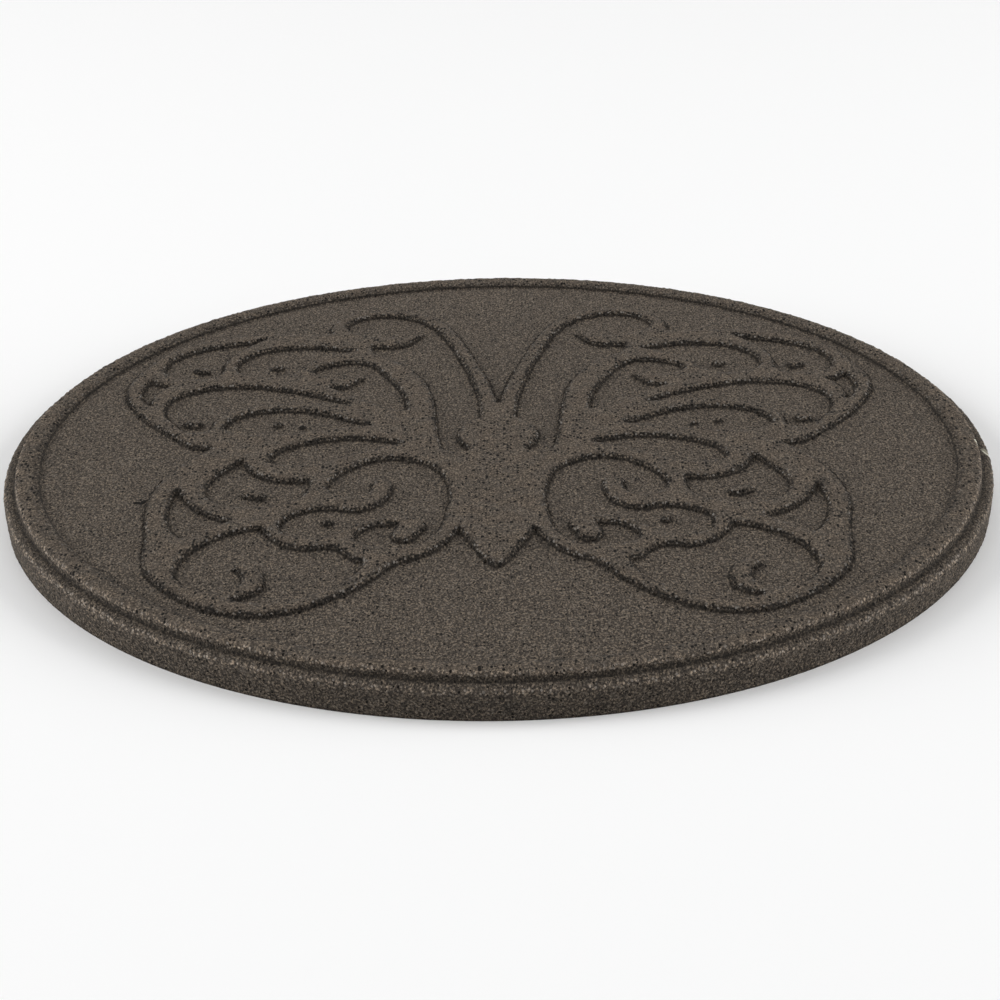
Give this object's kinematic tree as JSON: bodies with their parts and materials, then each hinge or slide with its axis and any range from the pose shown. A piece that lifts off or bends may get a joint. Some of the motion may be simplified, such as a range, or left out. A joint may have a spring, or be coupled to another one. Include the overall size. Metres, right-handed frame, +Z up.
{
  "type": "garden stepping stone",
  "caption": "Round flat garden stepping stone of moulded rubber crumb, with a raised rim over a low ledge and a scrollwork butterfly in relief on a sunken field.",
  "frame": {"origin": "middle of the flat underside, which lies on the ground", "axes": "+Z up out of the patterned face; +Y from the middle towards the side with the butterfly's antennae; +X to the viewer's right seen from the -Y side"},
  "size_m": [0.4571, 0.4572, 0.019],
  "materials": {
    "rubber_crumb": "matte bonded crumb, brown-grey, granules of 1 to 2 mm"
  },
  "bodies": {
    "root": {"stepping_stone": "rubber_crumb"}
  },
  "joints": []
}
